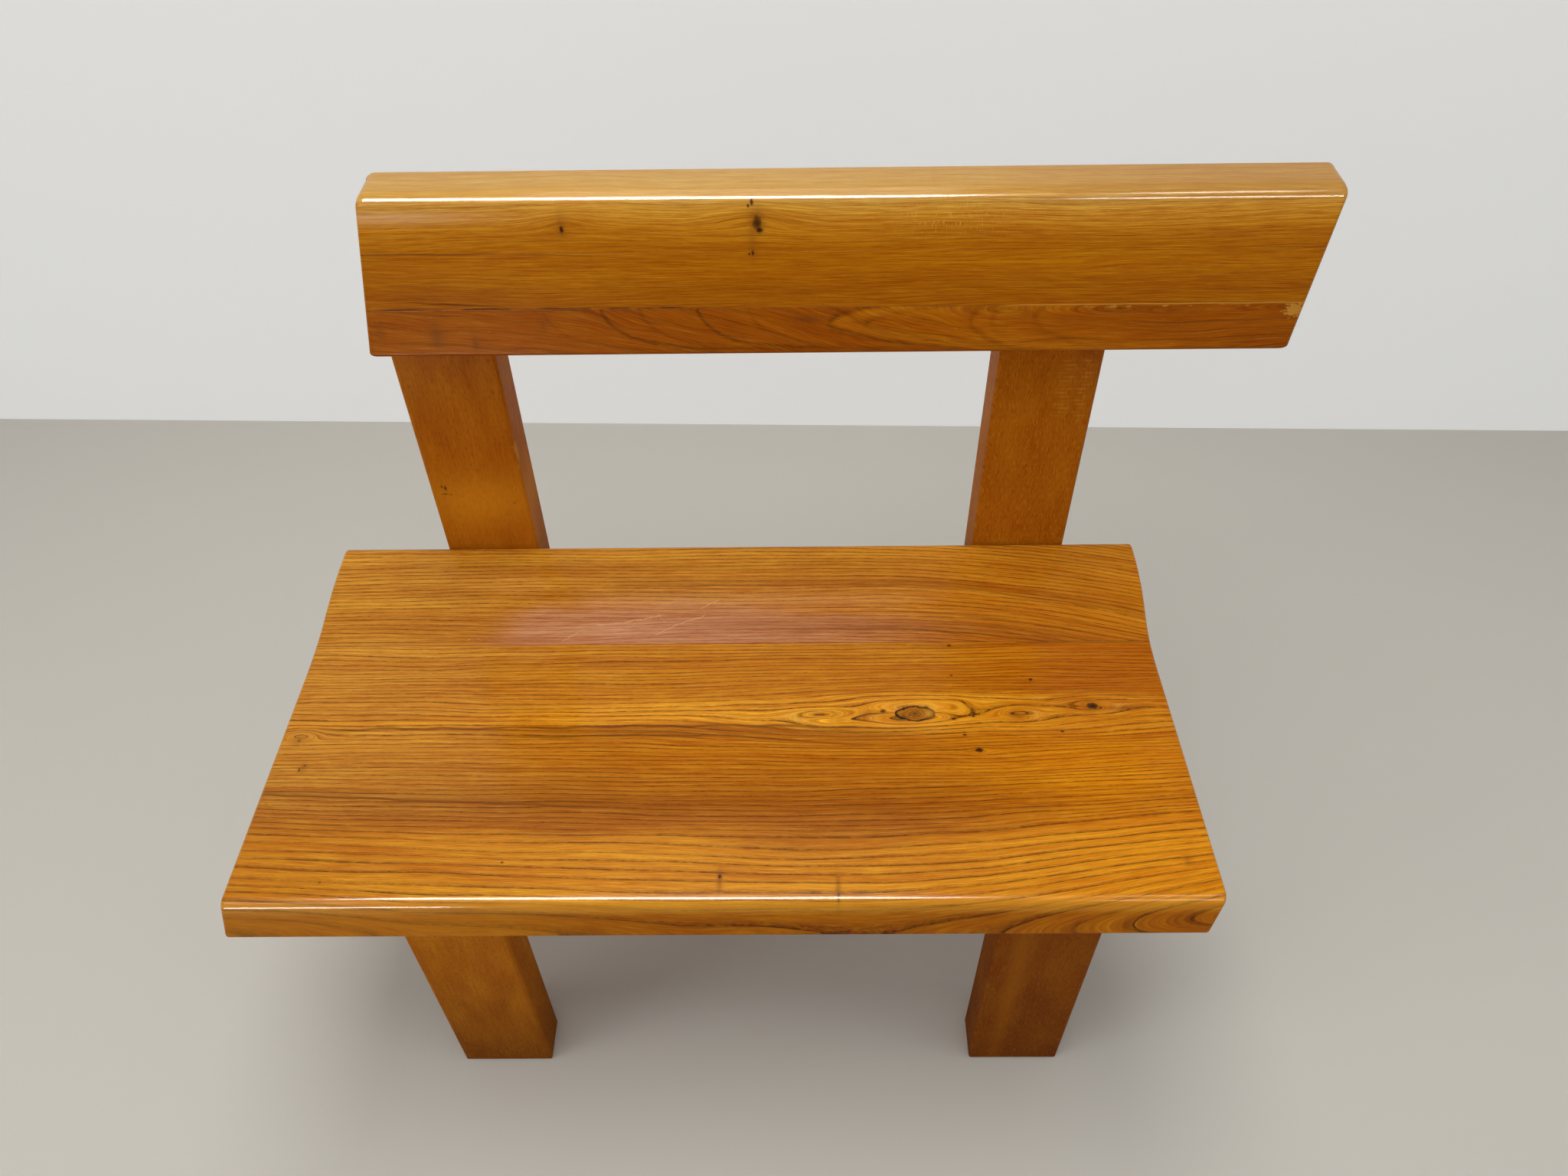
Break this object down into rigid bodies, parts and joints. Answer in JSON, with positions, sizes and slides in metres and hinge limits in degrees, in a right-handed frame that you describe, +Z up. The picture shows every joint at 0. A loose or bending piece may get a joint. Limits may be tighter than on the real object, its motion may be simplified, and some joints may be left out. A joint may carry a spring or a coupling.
{
  "type": "corner bench",
  "caption": "Low solid wood bench with a hollowed plank seat, plank legs and posts, and a leaning backrest set off to the right so that it runs past the seat.",
  "frame": {"origin": "on the floor, below the middle of the bench's overall length and depth", "axes": "+X to the sitter's left, which is the right of someone who faces the bench's front, along the seat; +Y to the back, towards the backrest; +Z up"},
  "size_m": [0.9498, 0.4759, 0.861],
  "materials": {
    "seat_wood": "clear gloss varnish over honey-brown elm",
    "backrest_wood": "clear gloss varnish over honey-brown elm",
    "leg_wood": "clear satin varnish over red-brown wood",
    "post_wood": "clear satin varnish over red-brown wood",
    "bearer_wood": "clear satin varnish",
    "peg_wood": "clear satin varnish, end grain",
    "screw_steel": "zinc-plated steel"
  },
  "bodies": {
    "root": {"seat_board_front": "seat_wood", "seat_board_rear": "seat_wood", "backrest_board_top": "backrest_wood", "backrest_board_middle": "backrest_wood", "backrest_board_bottom": "backrest_wood", "front_leg_left": "leg_wood", "front_leg_right": "leg_wood", "rear_post_left": "post_wood", "rear_post_right": "post_wood", "seat_bearer_left": "bearer_wood", "seat_bearer_right": "bearer_wood", "tenon_pegs": "peg_wood", "seat_screws": "screw_steel", "backrest_screws": "screw_steel", "backrest_plugs": "peg_wood"}
  },
  "joints": []
}
